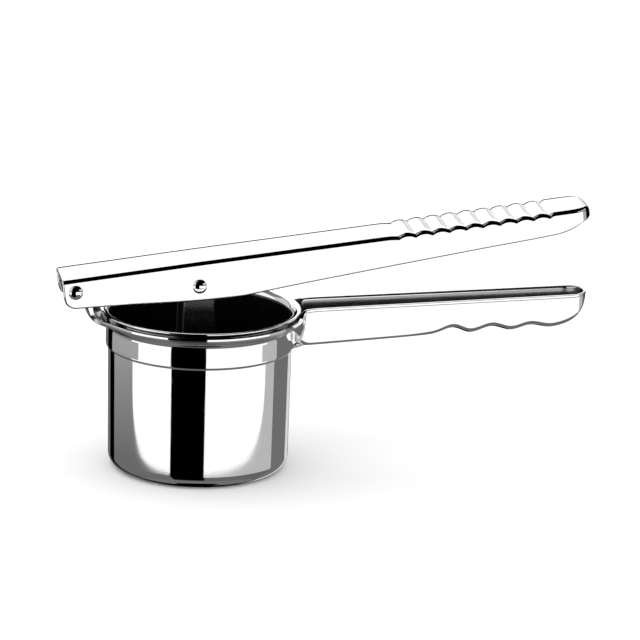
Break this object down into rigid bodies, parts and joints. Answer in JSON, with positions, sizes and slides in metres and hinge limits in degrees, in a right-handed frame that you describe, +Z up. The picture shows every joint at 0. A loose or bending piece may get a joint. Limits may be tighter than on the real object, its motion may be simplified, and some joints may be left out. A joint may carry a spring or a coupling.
{
  "type": "potato ricer",
  "caption": "Lever-operated potato ricer: perforated steel basket in a collar with a trough handle, a hinged channel lever above and a plunger disc on a yoke.",
  "frame": {"origin": "centre of the basket's base, on the surface it stands on", "axes": "+X from the basket towards the free ends of both handles, +Y across the lever, +Z up along the basket's axis"},
  "size_m": [0.2506, 0.0982, 0.1251],
  "materials": {
    "polished_steel": "mirror polished stainless steel",
    "satin_steel": "satin stainless steel"
  },
  "bodies": {
    "frame_body": {"frame": "polished_steel", "basket": "polished_steel"},
    "lever_body": {"lever": "polished_steel", "hinge_rivet": "polished_steel", "plunger_rivet": "polished_steel", "hinge_washer_near": "satin_steel", "hinge_washer_far": "satin_steel", "plunger_washer_near": "satin_steel", "plunger_washer_far": "satin_steel", "hinge_spacer_tube": "satin_steel"},
    "plunger_body": {"plunger_yoke": "satin_steel", "plunger_disc": "polished_steel", "plunger_spacer_tube": "satin_steel", "disc_rivet_rear": "satin_steel", "disc_rivet_front": "satin_steel"}
  },
  "joints": [
    {"name": "lever_hinge", "type": "hinge", "parent": "frame_body", "child": "lever_body", "pos_m": [-0.0602, 0, 0.0883], "axis": [0, -1, 0], "range_deg": [-7, 36]},
    {"name": "plunger_pivot", "type": "hinge", "parent": "lever_body", "child": "plunger_body", "pos_m": [-0.0024, 0, 0.0903], "axis": [0, -1, 0], "range_deg": [-29, 6]}
  ],
  "couplings": [
    {"joint": "plunger_pivot", "follows": "lever_hinge", "ratio": -0.79}
  ]
}
